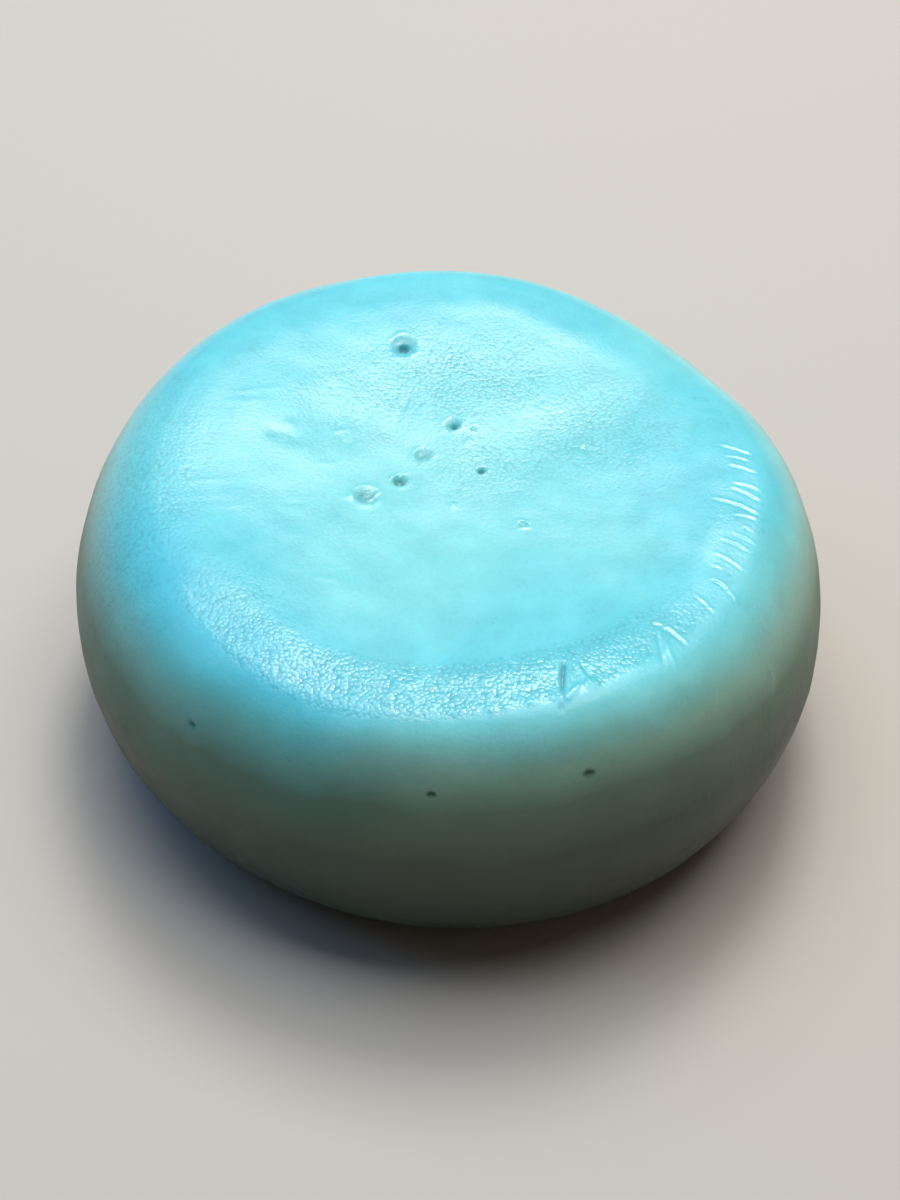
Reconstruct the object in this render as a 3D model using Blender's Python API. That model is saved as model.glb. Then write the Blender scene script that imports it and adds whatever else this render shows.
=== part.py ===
"""Shaving soap puck: one cake of soap, cast in a soft round mould and turned out of it.

The side swells like a barrel, the rim is rounded and slightly uneven, the poured top has sunk
into a shallow dish, and the base is a plain flat. Metres, +Z up, with the origin at the centre
of the base.
"""

import math

import bmesh
import bpy
import numpy as np
from mathutils import Vector
from mathutils.geometry import interpolate_bezier

# Driving dimensions, in metres
BELLY_RADIUS = 0.0360  # mean radius where the side swells furthest
BELLY_HEIGHT = 0.0144
RIM_HEIGHT = 0.0295  # from the base to the crest of the rim
CREST_RADIUS = 0.0292  # ring where the level rim starts to turn down
BASE_RADIUS = 0.0270  # edge of the flat that the puck rests on
DISH_DEPTH = 0.0020  # how far the top sank as it cooled
DISH_RADIUS = 0.0265
DISH_CENTRE = (-0.0012, -0.0012)  # the sink is a little off the middle

# Handles of the two curves that make the side, each as a share of the way to the curve's corner:
# the shorter one is, the tighter the curve turns at that end
CREST_HANDLE = 0.33
BELLY_HANDLE_UP = 0.46
BELLY_HANDLE_DOWN = 0.50
BASE_HANDLE = 0.53

# Unevenness of the cast, as (lobes round the puck, height of a lobe, direction of the first one).
# Even counts alone keep the outline centred on the origin.
OUTLINE_LOBES = ((2, 0.00053, math.radians(-44)), (4, 0.00008, math.radians(20)))
RIM_LOBES = (
    (2, 0.00064, math.radians(-53)),
    (3, 0.00010, math.radians(41)),
    (4, 0.00018, math.radians(7)),
    (5, 0.00037, math.radians(4)),
)

# How finely the surface is cut up
SIDES = 72
DISH_RINGS = 9
SHOULDER_RINGS = 9
FLANK_RINGS = 8

SOAP_COLOUR = (0.235, 0.745, 0.855, 1.0)
SOAP_ROUGHNESS = 0.42


def clear_scene():
    for obj in list(bpy.data.objects):
        bpy.data.objects.remove(obj, do_unlink=True)


def soap_material():
    """Dyed aqua soap, slightly translucent, with a soft gloss."""
    material = bpy.data.materials.new("aqua_soap")
    material.use_nodes = True
    shader = material.node_tree.nodes["Principled BSDF"]
    shader.inputs["Base Color"].default_value = SOAP_COLOUR
    shader.inputs["Roughness"].default_value = SOAP_ROUGHNESS
    shader.inputs["Metallic"].default_value = 0.0
    material.diffuse_color = SOAP_COLOUR
    return material


def quarter(start, end, start_handle, end_handle, rings):
    """A curve that leaves start level and reaches end upright, or the other way round where end is lower.

    Both handles lie on the lines to the corner where those two directions meet.
    """
    corner = Vector((max(start.x, end.x), start.y if start.y > BELLY_HEIGHT else end.y))
    first = start.lerp(corner, start_handle)
    second = end.lerp(corner, end_handle)
    return interpolate_bezier(start, first, second, end, rings + 1)[1:]


def half_section():
    """Points (x, z) from the middle of the top, over the rim and down the side, to the middle of the base."""
    crest = Vector((CREST_RADIUS, RIM_HEIGHT))
    belly = Vector((BELLY_RADIUS, BELLY_HEIGHT))
    foot = Vector((BASE_RADIUS, 0.0))
    top = [Vector((radius, RIM_HEIGHT)) for radius in np.linspace(0, CREST_RADIUS, DISH_RINGS + 1)]
    shoulder = quarter(crest, belly, CREST_HANDLE, BELLY_HANDLE_UP, SHOULDER_RINGS)
    flank = quarter(belly, foot, BELLY_HANDLE_DOWN, BASE_HANDLE, FLANK_RINGS)
    return top + shoulder + flank + [foot / 2, Vector((0.0, 0.0))]


def turned(section):
    """The half section spun once round the Z axis into one closed mesh."""
    mesh = bmesh.new()
    points = [mesh.verts.new((x, 0.0, z)) for x, z in section]
    edges = [mesh.edges.new(pair) for pair in zip(points, points[1:])]
    bmesh.ops.spin(
        mesh,
        geom=points + edges,
        axis=(0, 0, 1),
        cent=(0, 0, 0),
        angle=math.tau,
        steps=SIDES,
        use_merge=False,
    )
    bmesh.ops.remove_doubles(mesh, verts=mesh.verts[:], dist=1e-6)
    bmesh.ops.recalc_face_normals(mesh, faces=mesh.faces[:])
    return mesh


def lobes(table, angle):
    """Sum of cosine waves round the puck."""
    return sum(height * math.cos(count * (angle - first)) for count, height, first in table)


def dish(x, y):
    """How far the top has sunk at a point: a raised cosine, deepest at the dish's own centre."""
    away = math.hypot(x - DISH_CENTRE[0], y - DISH_CENTRE[1]) / DISH_RADIUS
    return DISH_DEPTH * (1 + math.cos(math.pi * min(away, 1))) / 2


def settle(mesh):
    """Pushes the turned shape into the uneven one that the soft mould and the cooling left."""
    for vert in mesh.verts:
        x, y, z = vert.co
        angle = math.atan2(y, x)
        share = max(z - BELLY_HEIGHT, 0) / (RIM_HEIGHT - BELLY_HEIGHT)
        upper = share * share * (3 - 2 * share)
        reach = min(math.hypot(x, y) / CREST_RADIUS, 1)
        vert.co.z += upper * (lobes(RIM_LOBES, angle) * reach**2 - dish(x, y))
        stretch = 1 + lobes(OUTLINE_LOBES, angle) / BELLY_RADIUS
        vert.co.x *= stretch
        vert.co.y *= stretch


def build_puck():
    mesh = turned(half_section())
    settle(mesh)
    data = bpy.data.meshes.new("soap_puck")
    mesh.to_mesh(data)
    mesh.free()
    data.materials.append(soap_material())
    data.shade_smooth()
    puck = bpy.data.objects.new("soap_puck", data)
    bpy.context.scene.collection.objects.link(puck)
    return puck


clear_scene()
build_puck()
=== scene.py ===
"""Looks of the shaving soap puck: one cake of cast aqua soap, with the grain, bubble pits, wrinkles
and nicks of its surface, on a plain floor in soft light."""

import math

import bpy
import numpy as np
from mathutils import Matrix, Vector


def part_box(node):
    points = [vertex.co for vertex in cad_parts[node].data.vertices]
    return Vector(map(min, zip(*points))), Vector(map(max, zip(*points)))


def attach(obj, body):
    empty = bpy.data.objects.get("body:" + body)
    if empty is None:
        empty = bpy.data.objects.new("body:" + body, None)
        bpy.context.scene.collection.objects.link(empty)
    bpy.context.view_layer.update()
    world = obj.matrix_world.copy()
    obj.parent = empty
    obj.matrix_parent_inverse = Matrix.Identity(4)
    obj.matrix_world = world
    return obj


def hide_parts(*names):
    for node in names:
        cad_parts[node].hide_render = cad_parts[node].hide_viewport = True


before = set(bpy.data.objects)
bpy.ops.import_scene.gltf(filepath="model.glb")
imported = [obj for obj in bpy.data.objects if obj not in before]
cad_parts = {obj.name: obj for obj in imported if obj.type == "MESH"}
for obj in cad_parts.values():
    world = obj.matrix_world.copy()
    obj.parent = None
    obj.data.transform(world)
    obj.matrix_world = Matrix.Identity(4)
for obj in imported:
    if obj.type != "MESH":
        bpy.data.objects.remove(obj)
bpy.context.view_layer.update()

# ---- Soap puck: the cake ---------------------------------------------------------------------
# One cake of soap, poured hot into a soft round mould and turned out cold. Its side bulges like a
# barrel, the rim set a little uneven, and the top sank into a shallow dish as the soap shrank.

MM = 0.001
low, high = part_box("soap_puck")
belly_radius = (high.x - low.x + high.y - low.y) / 4

# The side, as shares of the belly's radius
BELLY_HEIGHT = 0.400
BASE_RADIUS = 0.750
# How far the side's handles reach towards the corner that each curve rounds off
BELLY_HANDLE_UP, BELLY_HANDLE_DOWN, BASE_HANDLE = 0.46, 0.50, 0.53
# The crest ring, where the top starts to turn down, and its reach: how far out the first handle of
# the shoulder lies, level with the crest. The rim is fuller at the back, on the right and in front.
CREST_RADIUS, CREST_REACH = 0.75, 0.895
# Where it is fuller: (bearing, degrees off it that still have the full value, degrees off it where
# the fuller stretch ends, radius, reach)
CREST_CHANGES = (
    (90, 25, 65, 0.775, 0.935),
    (-8, 15, 60, 0.785, 0.885),
    (-92, 25, 80, 0.800, 0.915),
)
FRONT_BEARING = -92

# Waves of the outline and of the rim: (how many round the puck, height in mm, bearing in degrees)
OUTLINE_WAVES = ((2, 0.53, -44), (4, 0.08, 20))
RIM_WAVES = ((2, 0.64, -53), (3, 0.10, 41), (4, 0.18, 7), (5, 0.37, 4))


def waves(table, angle):
    """Sum of cosines round the puck, in metres."""
    return sum(
        height * MM * np.cos(count * (angle - math.radians(first))) for count, height, first in table
    )


rim_height = high.z - waves(RIM_WAVES, np.linspace(0, math.tau, 721)).max()
belly_height = BELLY_HEIGHT * belly_radius
base_radius = BASE_RADIUS * belly_radius

# The sunken top and the low crown of the rim round it, in mm
DISH_CENTRE = (0.9, -0.9)
DISH_RADIUS = 23.0
DISH_DEPTH = 1.9
CROWN_RADIUS, CROWN_WIDTH, CROWN_HEIGHT = 25.5, 2.6, 0.2
WAVE_RADIUS = 0.811 * belly_radius
# Hollows, and swells where the depth is negative: (x, y, length, width, bearing, depth), mm and degrees
HOLLOWS = (
    (-5.0, 4.0, 11.0, 6.0, -50, 0.36),
    (1.0, -6.0, 9.0, 6.0, -20, 0.28),
    (-15.5, -10.0, 9.0, 5.0, -60, 0.10),
    (-11.0, 8.5, 5.0, 3.2, -70, 0.10),
    (6.0, 11.0, 11.0, 6.0, 20, -0.30),
    (-17.0, 9.5, 6.0, 4.0, 40, -0.06),
    (-18.0, -14.5, 11.0, 4.5, -51, -0.20),
)


def smooth_step(low_edge, high_edge, value):
    """0 at the first edge and 1 at the second, with three times the square of the way between them
    less twice its cube. The first edge may be the higher one."""
    share = np.clip((value - low_edge) / (high_edge - low_edge), 0, 1)
    return share * share * (3 - 2 * share)


def off_bearing(angle, bearing):
    """How many degrees an angle in radians lies off a bearing in degrees, either way round."""
    return np.abs((np.degrees(angle) - bearing + 180) % 360 - 180)


def crest(angle):
    """Radius of the crest ring, and the reach of the curve out of it."""
    radius, reach = CREST_RADIUS, CREST_REACH
    for bearing, full, none, new_radius, new_reach in CREST_CHANGES:
        share = smooth_step(none, full, off_bearing(angle, bearing))
        radius = radius + share * (new_radius - radius)
        reach = reach + share * (new_reach - reach)
    return radius * belly_radius, reach * belly_radius


def oval(x, y, centre_x, centre_y, length, width, bearing):
    """A Gaussian mound of height 1 with its long side along the bearing."""
    turn = math.radians(bearing)
    along = (x - centre_x * MM) * math.cos(turn) + (y - centre_y * MM) * math.sin(turn)
    across = (y - centre_y * MM) * math.cos(turn) - (x - centre_x * MM) * math.sin(turn)
    return np.exp(-2 * ((along / (length * MM)) ** 2 + (across / (width * MM)) ** 2))


def top_height(x, y):
    """The rim's level and its waves, which grow with the square of the radius, plus a low crown, less
    the hollows and a bowl: 1 less the distance from its middle to the power 1.8, eased at its edge."""
    radius = np.hypot(x, y)
    away = np.hypot(x - DISH_CENTRE[0] * MM, y - DISH_CENTRE[1] * MM) / (DISH_RADIUS * MM)
    bowl = 1 - np.sqrt(np.minimum(away, 1.3) ** 4 + 0.02) ** 0.9
    soft = np.logaddexp(0, bowl * 12) / 12
    crown = CROWN_HEIGHT * MM * np.exp(-(((radius / MM - CROWN_RADIUS) / CROWN_WIDTH) ** 2))
    height = rim_height + waves(RIM_WAVES, np.arctan2(y, x)) * (radius / WAVE_RADIUS) ** 2
    height = height + crown - DISH_DEPTH * MM * soft
    for centre_x, centre_y, length, width, bearing, depth in HOLLOWS:
        height = height - depth * MM * oval(x, y, centre_x, centre_y, length, width, bearing)
    return height


def bezier(start, first, second, end, share):
    """Cubic curve from start to end, leaving towards first and arriving from second."""
    rest = 1 - share
    return rest**3 * start + 3 * rest**2 * share * first + 3 * rest * share**2 * second + share**3 * end


def side_surface(angle, share):
    """The side: a cubic curve from crest to belly as share goes 0 to 1, another from belly to foot as
    it goes to 2, and straight in along the base as it goes to 3. The rim's waves fade out down to
    the belly."""
    crest_radius, crest_reach = crest(angle)
    up, down = np.clip(share, 0, 1), np.clip(share - 1, 0, 1)
    rise = belly_height + BELLY_HANDLE_UP * (rim_height - belly_height)
    drop = belly_height * (1 - BELLY_HANDLE_DOWN)
    foot_handle = base_radius + BASE_HANDLE * (belly_radius - base_radius)
    shoulder = bezier(crest_radius, crest_reach, belly_radius, belly_radius, up)
    flank = bezier(belly_radius, belly_radius, foot_handle, base_radius, down)
    radius = np.where(share < 1, shoulder, flank) * np.clip(3 - share, 0, 1)
    shoulder = bezier(rim_height, rim_height, rise, belly_height, up)
    flank = bezier(belly_height, drop, 0, 0, down)
    height = np.where(share < 1, shoulder, flank)
    cosine, sine = np.cos(angle), np.sin(angle)
    lift = top_height(radius * cosine, radius * sine) - rim_height
    height = height + lift * smooth_step(belly_height, rim_height, height)
    radius = radius * (1 + waves(OUTLINE_WAVES, angle) / belly_radius)
    return np.stack([radius * cosine, radius * sine, height], -1)


# Heights of steps down the side, to find the share that lies at a given height
SHARES = np.linspace(0, 2, 401)
SHARE_HEIGHTS = side_surface(np.full(401, math.radians(FRONT_BEARING)), SHARES)[:, 2]

# How finely the puck is cut up, and how far its cells crowd towards the wrinkled part of the rim
TOP_CELLS = 208
SHOULDER_RINGS = 44
FLANK_RINGS = 18
BASE_RINGS = 2
WRINKLED_BEARING = math.radians(-42)
CROWDING = 0.55


def disc_grid(cells):
    """A square grid pushed out into a disc of radius 1. A point's greater coordinate is its radius,
    and the other one, as a share of it, turns by up to an eighth of a circle either way."""
    line = np.linspace(-1, 1, cells + 1)
    across, along = np.meshgrid(line, line, indexing="ij")
    ring = np.maximum(np.abs(across), np.abs(along))
    safe = np.where(ring > 0, ring, 1)
    side = math.pi / 4
    angle = np.select(
        [across >= np.abs(along), along >= np.abs(across), -across >= np.abs(along)],
        [side * along / safe, side * (2 - across / safe), side * (4 - along / safe)],
        side * (6 + across / safe),
    )
    return ring, angle


# Round holes of burst bubbles in the top: (x, y, radius, depth, lip) in mm. A wide shallow saucer with
# a small deep hole in it is one bubble that broke through the skin of another.
PITS = (
    (-4.6, 18.8, 1.30, 0.22, 0.06),
    (-4.65, 18.5, 0.58, 0.55, 0.00),
    (0.4, 8.4, 0.78, 0.20, 0.07),
    (0.45, 8.15, 0.38, 0.50, 0.00),
    (2.2, 7.8, 0.24, 0.20, 0.02),
    (-2.5, 4.6, 0.85, 0.24, 0.06),
    (-4.6, 1.0, 0.72, 0.62, 0.08),
    (-7.7, -1.3, 1.20, 0.28, 0.08),
    (3.0, 2.25, 0.42, 0.50, 0.05),
    (6.8, -4.9, 0.42, 0.16, 0.06),
    (12.9, 4.7, 0.50, 0.06, 0.00),
)
# Small mounds left by bubbles that did not burst: (x, y, radius, height) in mm
BLISTERS = (
    (0.3, -2.3, 0.42, 0.14),
    (-0.2, -1.3, 0.30, 0.10),
    (-2.2, 4.2, 0.34, 0.10),
    (-15.2, 7.2, 0.95, 0.09),
    (-16.7, 6.3, 1.10, -0.07),
    (-14.6, 5.2, 0.90, -0.03),
    (-10.4, 7.1, 0.40, 0.12),
    (1.6, 6.1, 0.60, 0.10),
    (3.7, -29.3, 0.44, 0.12),
    (4.9, -29.1, 0.36, 0.10),
    (7.0, -28.7, 0.50, 0.14),
    (9.0, -28.1, 0.44, 0.12),
)
# Burst bubbles and knocks in the side: (bearing, height, radius, depth, lip), degrees and mm
SIDE_PITS = (
    (-131, 24.0, 0.55, 0.22, 0.06),
    (-92, 24.6, 0.56, 0.30, 0.04),
    (-69.5, 24.6, 0.70, 0.34, 0.02),
    (64, 21.0, 0.60, 0.30, 0.04),
    (118, 13.0, 0.50, 0.25, 0.04),
    (171, 22.5, 0.45, 0.25, 0.04),
    (22, 18.0, 0.40, 0.20, 0.04),
)


def towards(x, y, centre_x, centre_y, reach, pull=0.6):
    """Draws points in towards a centre by a share that falls off as a Gaussian of the distance, so
    that a small shape there gets more of them."""
    step_x, step_y = centre_x - x, centre_y - y
    share = pull * np.exp(-(step_x**2 + step_y**2) / (2 * reach**2))
    return x + share * step_x, y + share * step_y


def puck_surface():
    """The smooth puck: the disc grid lifted to the top's height, then one ring of points for each
    step down the side and in along the base, which a last point in the middle closes."""
    ring, angle = disc_grid(TOP_CELLS)
    count = 4 * TOP_CELLS
    step = TOP_CELLS + 1
    edge = np.concatenate(
        [
            np.arange(TOP_CELLS) * step,
            TOP_CELLS * step + np.arange(TOP_CELLS),
            np.arange(TOP_CELLS, 0, -1) * step + TOP_CELLS,
            np.arange(TOP_CELLS, 0, -1),
        ]
    )
    angle = angle - CROWDING * np.sin(angle - WRINKLED_BEARING)
    nearness = (1 + np.cos(angle - WRINKLED_BEARING)) / 2
    crowd = 0.05 + 0.11 * nearness**3
    radius = crest(angle)[0] * (ring * (1 + crowd) - crowd * ring**4)
    x, y = radius * np.cos(angle), radius * np.sin(angle)
    for pit_x, pit_y, size, *_ in PITS:
        x, y = towards(x, y, pit_x * MM, pit_y * MM, (1.0 + size) * MM, pull=0.5)
    stretch = 1 + waves(OUTLINE_WAVES, angle) / belly_radius
    top = np.stack([x * stretch, y * stretch, top_height(x, y)], -1).reshape(-1, 3)

    share = np.concatenate(
        [
            np.linspace(0, 1, SHOULDER_RINGS + 1)[1:] ** 1.25,
            1 + np.linspace(0, 1, FLANK_RINGS + 1)[1:],
            2 + np.linspace(0, 1, BASE_RINGS + 1)[1:-1],
        ]
    )
    # Down the side one unit of share is about 20 mm, so the bearing is scaled to match it
    unit = 20 * MM
    run, share = np.meshgrid(angle.reshape(-1)[edge] * belly_radius / unit, share)
    for bearing, height, size, *_ in SIDE_PITS:
        down = np.interp(-height * MM, -SHARE_HEIGHTS, SHARES)
        turns = np.round((run * unit / belly_radius - math.radians(bearing)) / math.tau)
        centre = (math.radians(bearing) + turns * math.tau) * belly_radius / unit
        run, share = towards(run, share, centre, down, (0.9 + size) * MM / unit, pull=0.72)
    side = side_surface(run * unit / belly_radius, share)
    points = np.vstack([top, side.reshape(-1, 3), [[0.0, 0.0, 0.0]]])

    cell = np.arange(TOP_CELLS)
    corner = (cell[:, None] * step + cell).reshape(-1)
    cap = np.stack([corner, corner + step, corner + step + 1, corner + 1], -1)
    rings = np.vstack([edge, len(top) + np.arange(len(side) * count).reshape(-1, count)])
    ahead = np.roll(rings, -1, axis=1)
    wall = np.stack([rings[:-1], rings[1:], ahead[1:], ahead[:-1]], -1).reshape(-1, 4)
    middle = np.full(count, len(points) - 1)
    fan = np.stack([rings[-1], middle, ahead[-1]], -1)
    return points, np.vstack([cap, wall]), fan


def make_mesh(name, points, quads, triangles):
    """A smooth mesh of quads and triangles, each a row of point numbers."""
    mesh = bpy.data.meshes.new(name)
    corners = np.concatenate([quads.reshape(-1), triangles.reshape(-1)])
    starts = np.concatenate([np.arange(len(quads)) * 4, quads.size + np.arange(len(triangles)) * 3])
    mesh.vertices.add(len(points))
    mesh.vertices.foreach_set("co", points.astype(np.float32).reshape(-1))
    mesh.loops.add(len(corners))
    mesh.loops.foreach_set("vertex_index", corners.astype(np.int32))
    mesh.polygons.add(len(starts))
    mesh.polygons.foreach_set("loop_start", starts.astype(np.int32))
    mesh.update(calc_edges=True)
    mesh.validate()
    mesh.shade_smooth()
    return mesh


points, quads, triangles = puck_surface()
mesh = make_mesh("shaving_soap_puck", points, quads, triangles)
normals = np.empty(len(points) * 3, np.float32)
mesh.vertex_normals.foreach_get("vector", normals)
normals = normals.reshape(-1, 3).astype(float)
radius = np.hypot(points[:, 0], points[:, 1]) / MM
bearing_of = np.arctan2(points[:, 1], points[:, 0])
# The top and the rim, without the side and the base under them
above = points[:, 2] > rim_height * 0.8

# ---- Soap puck: what broke, folded and set in its skin ------------------------------------------
# Bubbles burst in the top and side as the soap set, the skin wrinkled over the rim on one side, and
# the rim was nicked when the puck came out of its mould. All of it is pushed into the mesh itself.


def ripple(at, size, seed, count=40):
    """Cosines of seeded plane waves summed: an unpatterned unevenness whose bumps are all about the
    size given, in mm."""
    random = np.random.default_rng(seed)
    direction = random.normal(size=(count, 3))
    direction /= np.linalg.norm(direction, axis=1)[:, None]
    number = math.tau / (size * MM) * random.uniform(0.6, 1.3, count)
    phase = random.uniform(0, math.tau, count)
    return np.cos(at @ (direction * number[:, None]).T + phase).sum(1) * math.sqrt(2 / count)


def on_top(x, y):
    """The point of the puck's upper side that lies over x, y in mm."""
    away = np.hypot(points[:, 0] - x * MM, points[:, 1] - y * MM) + np.where(above, 0, 1)
    return points[np.argmin(away)]


def on_side(bearing, height):
    """The point of the puck's side at a bearing in degrees and a height in mm."""
    down = np.interp(-height * MM, -SHARE_HEIGHTS, SHARES)
    return side_surface(np.radians([bearing]), np.array([down]))[0]


def hole(centre, size, depth, lip, flatness=1.0):
    """A burst bubble, as three values for each point. The push is a Gaussian ring, the broken lip,
    less the hole, which is 1 less the squared distance from its middle to a power. The second value
    is how deep the point lies in it, and the third how near the lip. A flatness above 1 makes the
    hole wider than tall."""
    step = (points - centre) * (1, 1, flatness)
    away = np.linalg.norm(step, axis=1) / (size * MM)
    inside = np.clip(1 - away**2, 0, 1) ** (0.6 * flatness)
    round_it = np.arctan2(step[:, 1], step[:, 0]) + 40 * size
    broken = 1 + 0.35 * np.cos(2 * round_it) + 0.3 * np.cos(5 * round_it + 1)
    edge = np.exp(-(((away - 1.12) * size / 0.20) ** 2))
    return (lip * edge * broken - depth * inside) * MM, inside * smooth_step(0.04, 0.46, depth), edge


def stroke(path, width, height, taper=0.25):
    """A ridge, or a cut where height is negative, along a line of points: a Gaussian of the distance
    to the line, in mm, that tapers off at both ends."""
    path = np.array(path)
    lengths = np.linalg.norm(np.diff(path, axis=0), axis=1)
    passed = np.concatenate([[0], np.cumsum(lengths)]) / lengths.sum()
    nearest = np.full(len(points), 1.0)
    place = np.zeros(len(points))
    for start, end, first, last in zip(path, path[1:], passed, passed[1:]):
        run = end - start
        along = np.clip((points - start) @ run / (run @ run), 0, 1)
        away = np.linalg.norm(points - start - along[:, None] * run, axis=1)
        closer = away < nearest
        nearest = np.where(closer, away, nearest)
        place = np.where(closer, first + along * (last - first), place)
    fade = smooth_step(-0.02, taper, place) * smooth_step(-0.02, taper, 1 - place)
    return height * MM * fade * np.exp(-((nearest / (width * MM)) ** 2))


push = np.zeros(len(points))
# How deep a point lies in a pit or cut, for the pits' duller gloss and their painted shade
sunk_and_painted_shade = np.zeros(len(points))
shine = np.zeros(len(points))
for x, y, size, depth, lip in PITS:
    dent, inside, edge = hole(on_top(x, y), size, depth, lip)
    shine = np.maximum(shine, np.sign(lip) * edge)
    push += dent
    sunk_and_painted_shade = np.maximum(sunk_and_painted_shade, inside)
for bearing, height, size, depth, lip in SIDE_PITS:
    dent, inside, _ = hole(on_side(bearing, height), size, depth, lip, flatness=1.7)
    push += dent
    sunk_and_painted_shade = np.maximum(sunk_and_painted_shade, inside)
for x, y, size, height in BLISTERS:
    away = np.linalg.norm(points - on_top(x, y), axis=1) / (size * MM)
    push += height * MM * np.exp(-2 * away**2)

# Wrinkles over the rim: (x and y of the inner end, x and y of the outer end, height) in mm. Each is a
# narrow fold with a shallower furrow along its front.
WRINKLES = (
    (24.2, 7.9, 25.4, 7.5, 0.07),
    (23.4, 11.3, 25.1, 11.2, 0.05),
    (23.9, 9.6, 26.3, 9.0, 0.04),
    (25.1, 4.5, 28.8, 2.7, 0.11),
    (25.5, 2.8, 28.3, 1.9, 0.07),
    (25.8, 1.6, 28.6, 0.4, 0.11),
    (26.0, -0.8, 29.0, -2.0, 0.08),
    (25.7, -1.3, 28.9, -3.4, 0.13),
    (24.0, -2.7, 29.0, -5.3, 0.12),
    (25.9, -5.0, 28.2, -5.6, 0.09),
    (26.7, -6.6, 27.5, -7.1, 0.07),
    (25.6, -7.4, 27.9, -8.7, 0.13),
    (24.5, -8.0, 27.3, -9.7, 0.10),
    (23.8, -9.7, 26.6, -12.0, 0.07),
    (23.4, -11.4, 24.5, -11.9, 0.07),
    (23.4, -13.0, 24.8, -14.4, 0.16),
    (24.6, -14.2, 25.6, -16.2, 0.07),
    (21.6, -15.0, 23.4, -17.4, 0.06),
    (20.3, -16.6, 21.6, -18.8, 0.05),
)
FOLD_HEIGHT = 0.62
FOLD_WIDTH, FURROW_WIDTH, FURROW_SHARE = 0.15, 0.20, 0.70
for inner_x, inner_y, outer_x, outer_y, height in WRINKLES:
    line = [
        (inner_x, inner_y),
        ((inner_x + outer_x) / 2 + 0.10, (inner_y + outer_y) / 2 + 0.16),
        (outer_x, outer_y),
    ]
    fold, between, furrow = [[on_top(x, y - back) for x, y in line] for back in (0.0, 0.12, 0.30)]
    push += stroke(fold, FOLD_WIDTH, height * FOLD_HEIGHT)
    push -= stroke(furrow, FURROW_WIDTH, height * FOLD_HEIGHT * FURROW_SHARE)
    shine = np.maximum(shine, stroke(between, 0.35, 1.0 / MM))

# The nick in the rim's front: a straight cut, a slanting one beside it, and the curled tongue between
# them. A second knock lies further right. (points of the line, width, height), mm. Ridges above the
# first height are torn skin and shine, and cuts below the second are drawn darker inside, a painted
# shade.
SHINES_ABOVE, PAINTED_SHADE_BELOW = 0.08, -0.15
NICKS = (
    (((9.9, -24.1), (9.75, -26.6), (9.6, -29.4)), 0.15, -0.50),
    (((10.3, -24.8), (10.2, -26.4), (10.0, -28.6)), 0.22, 0.06),
    (((10.9, -24.2), (11.6, -25.7), (12.2, -26.9)), 0.16, 0.09),
    (((11.3, -24.2), (12.0, -25.6), (12.6, -26.6)), 0.20, -0.08),
    (((11.6, -26.4), (12.1, -26.7), (12.8, -26.4)), 0.50, 0.16),
    (((9.9, -28.4), (10.5, -27.7), (11.2, -26.6)), 0.26, 0.12),
    (((18.2, -20.0), (18.3, -22.8), (18.3, -26.0)), 0.20, -0.07),
    (((18.8, -20.8), (19.1, -22.6), (19.8, -24.4), (19.2, -26.6)), 0.18, 0.05),
    (((17.8, -18.7), (19.4, -19.5), (20.9, -21.3)), 0.14, 0.05),
    (((17.6, -19.0), (19.2, -19.9), (20.6, -21.6)), 0.20, -0.05),
    # The broken rim of the largest bubble, and shreds of its skin
    (((-9.6, -0.7), (-9.0, -1.5), (-8.2, -2.4), (-7.0, -2.6)), 0.20, 0.07),
    (((-8.7, -1.6), (-8.0, -0.8), (-7.2, -0.6)), 0.18, 0.22),
    (((-7.8, -2.0), (-7.1, -1.5), (-6.8, -0.7)), 0.16, 0.22),
    (((-2.9, 4.3), (-2.4, 4.1), (-2.0, 4.4)), 0.18, 0.16),
    # Small folds of the skin inside the dish
    (((-11.8, 12.3), (-10.6, 10.0), (-9.6, 8.2), (-9.3, 5.6)), 0.30, 0.06),
    (((-11.3, 12.0), (-10.1, 9.8), (-9.1, 8.0), (-8.8, 5.6)), 0.30, -0.07),
    (((-12.0, 14.6), (-10.2, 12.6), (-8.4, 9.8)), 0.34, 0.04),
    (((-5.0, 8.4), (-4.8, 10.4), (-3.9, 12.4)), 0.16, -0.05),
    (((8.2, 10.9), (9.3, 12.0)), 0.20, -0.06),
    (((11.5, 5.4), (14.0, 4.4)), 0.24, -0.06),
    (((11.8, 5.8), (14.2, 4.9)), 0.22, 0.02),
    (((-24.8, -1.3), (-22.0, -0.7), (-19.9, -0.6)), 0.24, 0.024),
    (((-25.1, -3.1), (-22.0, -2.9), (-19.6, -2.3)), 0.22, 0.018),
    (((-22.8, -4.0), (-20.5, -4.1), (-18.7, -3.7)), 0.22, 0.020),
    (((-21.0, 10.8), (-15.9, 11.9)), 0.30, 0.022),
    (((-21.8, 9.4), (-17.2, 10.1)), 0.30, 0.018),
    (((-12.6, 2.6), (-10.5, 2.9)), 0.22, 0.050),
    (((-15.2, -2.9), (-13.3, -2.8)), 0.22, -0.05),
    (((-12.1, -12.4), (-9.6, -12.8)), 0.26, 0.045),
    (((-9.9, -1.4), (-8.9, -1.9)), 0.18, 0.10),
    (((-4.9, -25.2), (-3.4, -26.6), (-2.2, -28.6)), 0.20, 0.06),
    (((-5.8, -27.8), (-4.0, -26.2), (-1.8, -25.4)), 0.18, 0.05),
)
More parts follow.
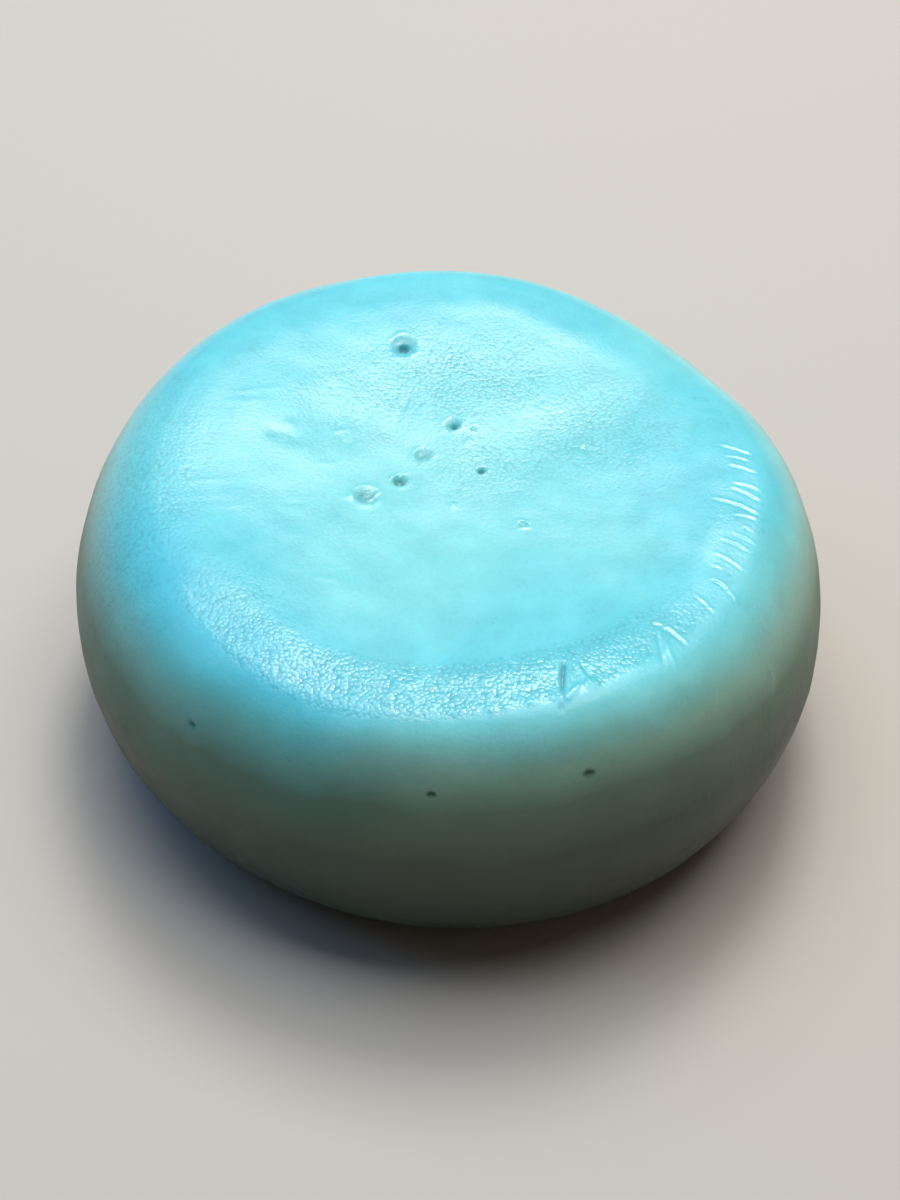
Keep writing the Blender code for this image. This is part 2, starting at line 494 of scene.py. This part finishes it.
# Bright little scars on the side, as (bearing, height) points
SIDE_NICKS = (
    (((-115.4, 25.2), (-114.2, 25.8), (-112.9, 25.0)), 0.16, 0.10),
    (((-122.6, 9.3), (-121.2, 10.4)), 0.20, 0.10),
    (((-128.6, 11.0), (-127.2, 11.8)), 0.20, 0.08),
    (((-35.0, 22.2), (-33.4, 23.4), (-33.0, 24.4)), 0.30, 0.06),
)
for path, width, height in NICKS:
    path = [on_top(x, y) for x, y in path]
    push += stroke(path, width, height, taper=0.15)
    if height > SHINES_ABOVE:
        shine = np.maximum(shine, stroke(path, 1.6 * width, 0.8 / MM))
    if height < PAINTED_SHADE_BELOW:
        sunk_and_painted_shade = np.maximum(sunk_and_painted_shade, stroke(path, width, 0.9 / MM, taper=0.15))
for path, width, height in SIDE_NICKS:
    path = [on_side(bearing, up) for bearing, up in path]
    push += stroke(path, width, height)
    shine = np.maximum(shine, stroke(path, 2 * width, 1.0 / MM))

# Where foam froze in the skin as a grain of fine cells, and how strongly: (x, y, length, width,
# bearing, strength), mm and degrees
GRAINY = (
    (1.0, 14.5, 17.0, 10.0, 3, 0.90),
    (14.0, 8.0, 12.0, 10.0, 0, 0.80),
    (4.0, 4.0, 10.0, 8.0, 10, 0.75),
    (-9.0, 12.0, 9.0, 8.0, 60, 0.60),
    (-29.0, -2.0, 9.0, 22.0, 0, 0.90),
    (-18.0, -16.0, 7.0, 10.0, 40, 0.65),
    (25.0, -12.0, 4.0, 7.0, -10, 0.25),
)
grain = np.full(len(points), 0.16)
for x, y, length, width, bearing, strength in GRAINY:
    grain = np.maximum(grain, strength * oval(points[:, 0], points[:, 1], x, y, length, width, bearing))
grain *= smooth_step(0.50, 0.85, points[:, 2] / rim_height)
# The front of the rim froze in coarse drops, from the dish's edge to the crest
off_front = off_bearing(bearing_of, FRONT_BEARING)
band_edge = 30.0 - 1.1 * smooth_step(15, 50, off_front)
front_band = smooth_step(22.6, 25.0, radius) * smooth_step(band_edge + 0.5, band_edge - 0.5, radius)
front_band *= smooth_step(72, 35, off_bearing(bearing_of, -94)) * above
grain = np.maximum(grain, front_band)
# Low on the right the skin is faintly rough
lower_right = smooth_step(24 * MM, 18 * MM, points[:, 2])
lower_right *= smooth_step(50, 20, off_bearing(bearing_of, -30))
grain = np.maximum(grain, 0.35 * lower_right)

# The torn skin of the nicks is smooth, and it shines with the wrinkles, the lips and the drops
torn = np.maximum(
    oval(points[:, 0], points[:, 1], 11.2, -26.4, 3.0, 2.0, -70),
    oval(points[:, 0], points[:, 1], 18.6, -22.6, 4.4, 1.6, 86),
)
grain *= 1 - 0.85 * torn
slick = np.maximum(front_band * smooth_step(80, 20, off_bearing(bearing_of, -80)), torn)
slick = np.maximum(slick, 0.5 * oval(points[:, 0], points[:, 1], 26.5, -4.0, 13.0, 4.0, 84))
slick = np.maximum(0.6 * slick * above, np.clip(shine, 0, 1))

# Two patches of colour that stay put on the puck, both painted light: just outside the front crest the
# side's darker colour is drawn a little higher up, a painted shade,
painted_crest_shade = smooth_step(29.0, 31.5, radius) * smooth_step(65, 5, off_bearing(bearing_of, -76))
# and on the front left the colour is drawn a little bluer, a painted cool light
painted_cool_light = smooth_step(22, 30, radius) * smooth_step(50, 22, off_bearing(bearing_of, -138))

off_base = smooth_step(0.3 * MM, 2.5 * MM, points[:, 2])
push += 0.030 * MM * ripple(points, 9, 3)
push += 0.010 * MM * ripple(points, 3.4, 5)
push += 0.007 * MM * grain * ripple(points, 1.0, 8)
push += 0.006 * MM * front_band * (1 - torn) * ripple(points, 0.8, 13)
points = points + normals * (push * off_base)[:, None]

mesh.vertices.foreach_set("co", points.astype(np.float32).reshape(-1))
MASKS = (("grain", grain), ("sunk_and_painted_shade", sunk_and_painted_shade), ("slick", slick), ("painted_crest_shade", painted_crest_shade), ("painted_cool_light", painted_cool_light))
for name, values in MASKS:
    layer = mesh.attributes.new(name, "FLOAT", "POINT")
    layer.data.foreach_set("value", np.clip(values, 0, 1).astype(np.float32))
mesh.update()
puck = bpy.data.objects.new("shaving_soap_puck", mesh)
bpy.context.scene.collection.objects.link(puck)

# ---- Soap puck: cast glycerin soap --------------------------------------------------------------
# Dyed aqua and faintly cloudy, so light sinks in a few millimetres and the rim glows. The colour is
# drawn pale aqua at the top and deep grey-green towards the base: the dark lower side is painted
# shade, and the paler colour on the shoulder just under the crest is painted light. The skin is waxy,
# half gloss.


def linear(colour):
    """sRGB hex to linear RGBA."""
    parts = [int(colour[i : i + 2], 16) / 255 for i in (1, 3, 5)]
    return [c / 12.92 if c <= 0.04045 else ((c + 0.055) / 1.055) ** 2.4 for c in parts] + [1.0]


def add(tree, kind, settings=None, links=None):
    """Adds a shader node with its settings, by property name, socket name or socket number, and links
    outputs of other nodes into its sockets."""
    node = tree.nodes.new("ShaderNode" + kind)
    for name, value in (settings or {}).items():
        if hasattr(node, str(name)):
            setattr(node, name, value)
        else:
            node.inputs[name].default_value = value
    for name, source in (links or {}).items():
        tree.links.new(source, node.inputs[name])
    return node


def ramp(tree, source, stops):
    """Colour ramp through (place, hex colour) stops."""
    node = add(tree, "ValToRGB", links={"Fac": source})
    elements = node.color_ramp.elements
    for index, (place, colour) in enumerate(stops):
        element = elements[index] if index < 2 else elements.new(place)
        element.position = place
        element.color = linear(colour)
    return node.outputs["Color"]


soap = bpy.data.materials.new("cast_glycerin_soap")
soap.use_nodes = True
tree = soap.node_tree
shader = tree.nodes["Principled BSDF"]
place = add(tree, "TexCoord").outputs["Object"]
grain_mask = add(tree, "Attribute", {"attribute_name": "grain"}).outputs["Fac"]
sunk_and_painted_shade_mask = add(tree, "Attribute", {"attribute_name": "sunk_and_painted_shade"}).outputs["Fac"]

# Colour by height above the base, with an uneven edge. The darkening towards the base is painted
# shade, and the paler colour on the shoulder just under the crest is painted light.
cloud = add(tree, "TexNoise", {"Scale": 1 / (11 * MM), "Detail": 3.0}, {"Vector": place}).outputs["Fac"]
level = add(tree, "SeparateXYZ", links={"Vector": place}).outputs["Z"]
level = add(tree, "MapRange", {"From Max": 32 * MM}, {"Value": level}).outputs["Result"]
level = add(
    tree, "Math", {"operation": "MULTIPLY_ADD", 1: 0.10}, {0: cloud, 2: level}
).outputs["Value"]
# Painted shade: just outside the front crest the darker lower colours reach higher up
painted_crest_shade_mask = add(tree, "Attribute", {"attribute_name": "painted_crest_shade"}).outputs["Fac"]
level = add(
    tree, "Math", {"operation": "MULTIPLY_ADD", 1: -0.07}, {0: painted_crest_shade_mask, 2: level}
).outputs["Value"]
# The dark lower stops are painted shade, and the pale stops at 0.81 and 0.90, on the shoulder under the
# crest, are painted light
BODY_AND_PAINTED_SHADE_STOPS = (
    (0.34, "#2f3d2b"),
    (0.52, "#3b5039"),
    (0.70, "#67876f"),
    (0.81, "#9acbbb"),
    (0.90, "#90e4e4"),
    (0.98, "#76dae4"),
)
body = ramp(tree, level, BODY_AND_PAINTED_SHADE_STOPS)
mottle = add(
    tree, "TexNoise", {"Scale": 1 / (4 * MM), "Detail": 5.0, "Roughness": 0.6}, {"Vector": place}
).outputs["Fac"]
tint = add(
    tree,
    "MapRange",
    {"From Min": 0.3, "From Max": 0.7, "To Min": 0.93, "To Max": 1.04},
    {"Value": mottle},
).outputs["Result"]
body = add(
    tree, "Mix", {"data_type": "RGBA", "blend_type": "MULTIPLY", 0: 1.0}, {6: body, 7: tint}
).outputs[2]
# Painted shade: the insides of pits and deep cuts are drawn darker
body = add(
    tree,
    "Mix",
    {"data_type": "RGBA", "blend_type": "MULTIPLY", 7: linear("#9fb6b8")},
    {0: sunk_and_painted_shade_mask, 6: body},
).outputs[2]
# Painted cool light: the front left is drawn bluer
painted_cool_light_mask = add(tree, "Attribute", {"attribute_name": "painted_cool_light"}).outputs["Fac"]
body = add(
    tree,
    "Mix",
    {"data_type": "RGBA", "blend_type": "MULTIPLY", 7: linear("#c3f2ff")},
    {0: painted_cool_light_mask, 6: body},
).outputs[2]

# Fine cells of froth, each a low dome with a sharp furrow round it, and the fainter grain of wax. The
# furrows are drawn darker, a painted shade, and the domes a little paler, a painted light.
warp = add(
    tree, "TexNoise", {"Scale": 1 / (1.1 * MM), "Detail": 1.0}, {"Vector": place}
).outputs["Color"]
warped = add(
    tree, "VectorMath", {"operation": "MULTIPLY_ADD", 1: (0.15 * MM,) * 3}, {0: warp, 2: place}
).outputs["Vector"]
cells = add(tree, "TexVoronoi", {"Scale": 1 / (0.36 * MM)}, {"Vector": warped}).outputs["Distance"]
dome = add(tree, "Math", {"operation": "MULTIPLY"}, {0: cells, 1: cells}).outputs["Value"]
dome = add(tree, "Math", {"operation": "MULTIPLY"}, {0: dome, 1: grain_mask}).outputs["Value"]
# Painted shade in the furrows and painted light on the domes
furrow_painted_shade = add(
    tree, "MapRange", {"From Max": 0.5, "To Min": 1.04, "To Max": 0.87}, {"Value": dome}
).outputs["Result"]
body = add(
    tree, "Mix", {"data_type": "RGBA", "blend_type": "MULTIPLY", 0: 1.0}, {6: body, 7: furrow_painted_shade}
).outputs[2]
tree.links.new(body, shader.inputs["Base Color"])
wax = add(tree, "TexNoise", {"Scale": 1 / (0.30 * MM), "Detail": 2.0}, {"Vector": place}).outputs["Fac"]
skin = add(tree, "Bump", {"Strength": 1.0, "Distance": 0.018 * MM}, {"Height": wax}).outputs["Normal"]
skin = add(
    tree,
    "Bump",
    {"Strength": 1.0, "Distance": 0.048 * MM, "invert": True},
    {"Height": dome, "Normal": skin},
).outputs["Normal"]
tree.links.new(skin, shader.inputs["Normal"])

# A waxy half gloss: duller low on the side and in the pits, brighter on drops and torn skin
sheen = add(
    tree,
    "MapRange",
    {"From Min": 0.3, "From Max": 0.7, "To Min": 0.27, "To Max": 0.38},
    {"Value": mottle},
).outputs["Result"]
matt = add(
    tree,
    "MapRange",
    {"From Min": 0.6, "From Max": 0.95, "To Min": 0.16, "To Max": 0.0},
    {"Value": level},
).outputs["Result"]
sheen = add(tree, "Math", {"operation": "ADD"}, {0: sheen, 1: matt}).outputs["Value"]
slick_mask = add(tree, "Attribute", {"attribute_name": "slick"}).outputs["Fac"]
sheen = add(
    tree, "Math", {"operation": "MULTIPLY_ADD", 1: -0.15}, {0: slick_mask, 2: sheen}
).outputs["Value"]
sheen = add(
    tree, "Math", {"operation": "MULTIPLY_ADD", 1: 0.1}, {0: sunk_and_painted_shade_mask, 2: sheen}
).outputs["Value"]
tree.links.new(sheen, shader.inputs["Roughness"])
shader.inputs["IOR"].default_value = 1.5
shader.inputs["Specular IOR Level"].default_value = 0.6
shader.inputs["Subsurface Weight"].default_value = 0.7
shader.inputs["Subsurface Radius"].default_value = (0.4, 1.0, 1.1)
shader.inputs["Subsurface Scale"].default_value = 3.5 * MM
mesh.materials.append(soap)

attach(puck, "root")
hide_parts("soap_puck")

# ---- Floor -----------------------------------------------------------------------------------
# A plain pale sheet of matt card under the puck, a hundred times as wide as the puck.

FLOOR_SIDE = 8.0
bpy.ops.mesh.primitive_plane_add(size=FLOOR_SIDE, location=(0, 0, low.z))
floor = bpy.context.object
floor.name = "floor"
card = bpy.data.materials.new("matt_card")
card.use_nodes = True
card.node_tree.nodes["Principled BSDF"].inputs["Base Color"].default_value = linear("#cec8bd")
card.node_tree.nodes["Principled BSDF"].inputs["Roughness"].default_value = 0.9
floor.data.materials.append(card)

# ---- Light and camera ------------------------------------------------------------------------
# Two soft lights overhead, a wide one and a small one, both a little behind the puck, a weaker cool
# one on the left, a faint warm one in front on the right, and dim air all round.


def softbox(name, bearing, elevation, distance, width, height, power, colour):
    """A rectangular area light that faces the puck: angles in degrees, sizes in metres."""
    light = bpy.data.lights.new(name, "AREA")
    light.shape = "RECTANGLE"
    light.size, light.size_y = width, height
    light.energy = power
    light.color = linear(colour)[:3]
    turn, rise = math.radians(bearing), math.radians(elevation)
    away = Vector((math.cos(turn) * math.cos(rise), math.sin(turn) * math.cos(rise), math.sin(rise)))
    facing = away.to_track_quat("Z", "Y").to_matrix().to_4x4()
    lamp = bpy.data.objects.new(name, light)
    lamp.matrix_world = Matrix.Translation(away * distance) @ facing
    bpy.context.scene.collection.objects.link(lamp)


softbox("overhead_softbox", 72, 75, 0.70, 0.70, 0.56, 4.1, "#ffffff")
softbox("small_softbox", 80, 64, 0.60, 0.16, 0.16, 1.15, "#ffffff")
softbox("cool_softbox", 165, 50, 0.60, 0.42, 0.42, 0.76, "#9ac6ff")
softbox("warm_softbox", -30, 38, 0.60, 0.30, 0.30, 0.07, "#ffc294")

world = bpy.data.worlds.new("studio_air")
world.use_nodes = True
world.node_tree.nodes["Background"].inputs["Color"].default_value = linear("#d9dcd8")
world.node_tree.nodes["Background"].inputs["Strength"].default_value = 0.05
bpy.context.scene.world = world
bpy.context.scene.view_settings.view_transform = "Standard"

# The camera looks down on the puck from in front, held close over it and turned a little askew
ELEVATION = math.radians(46.45)
ROLL = math.radians(0.6)
DISTANCE_IN_RADII = 6.0
camera_data = bpy.data.cameras.new("camera")
camera_data.lens = 66.35
camera_data.sensor_width = 36.0
camera_data.clip_start = 0.01
camera = bpy.data.objects.new("camera", camera_data)
bpy.context.scene.collection.objects.link(camera)
back = Vector((0, -math.cos(ELEVATION), math.sin(ELEVATION)))
aim = Vector((0.2 * MM, -1.05 * MM, 13.7 * MM))
turned = back.to_track_quat("Z", "Y").to_matrix().to_4x4() @ Matrix.Rotation(ROLL, 4, "Z")
camera.matrix_world = Matrix.Translation(aim + back * DISTANCE_IN_RADII * belly_radius) @ turned
bpy.context.scene.camera = camera

bpy.context.view_layer.update()
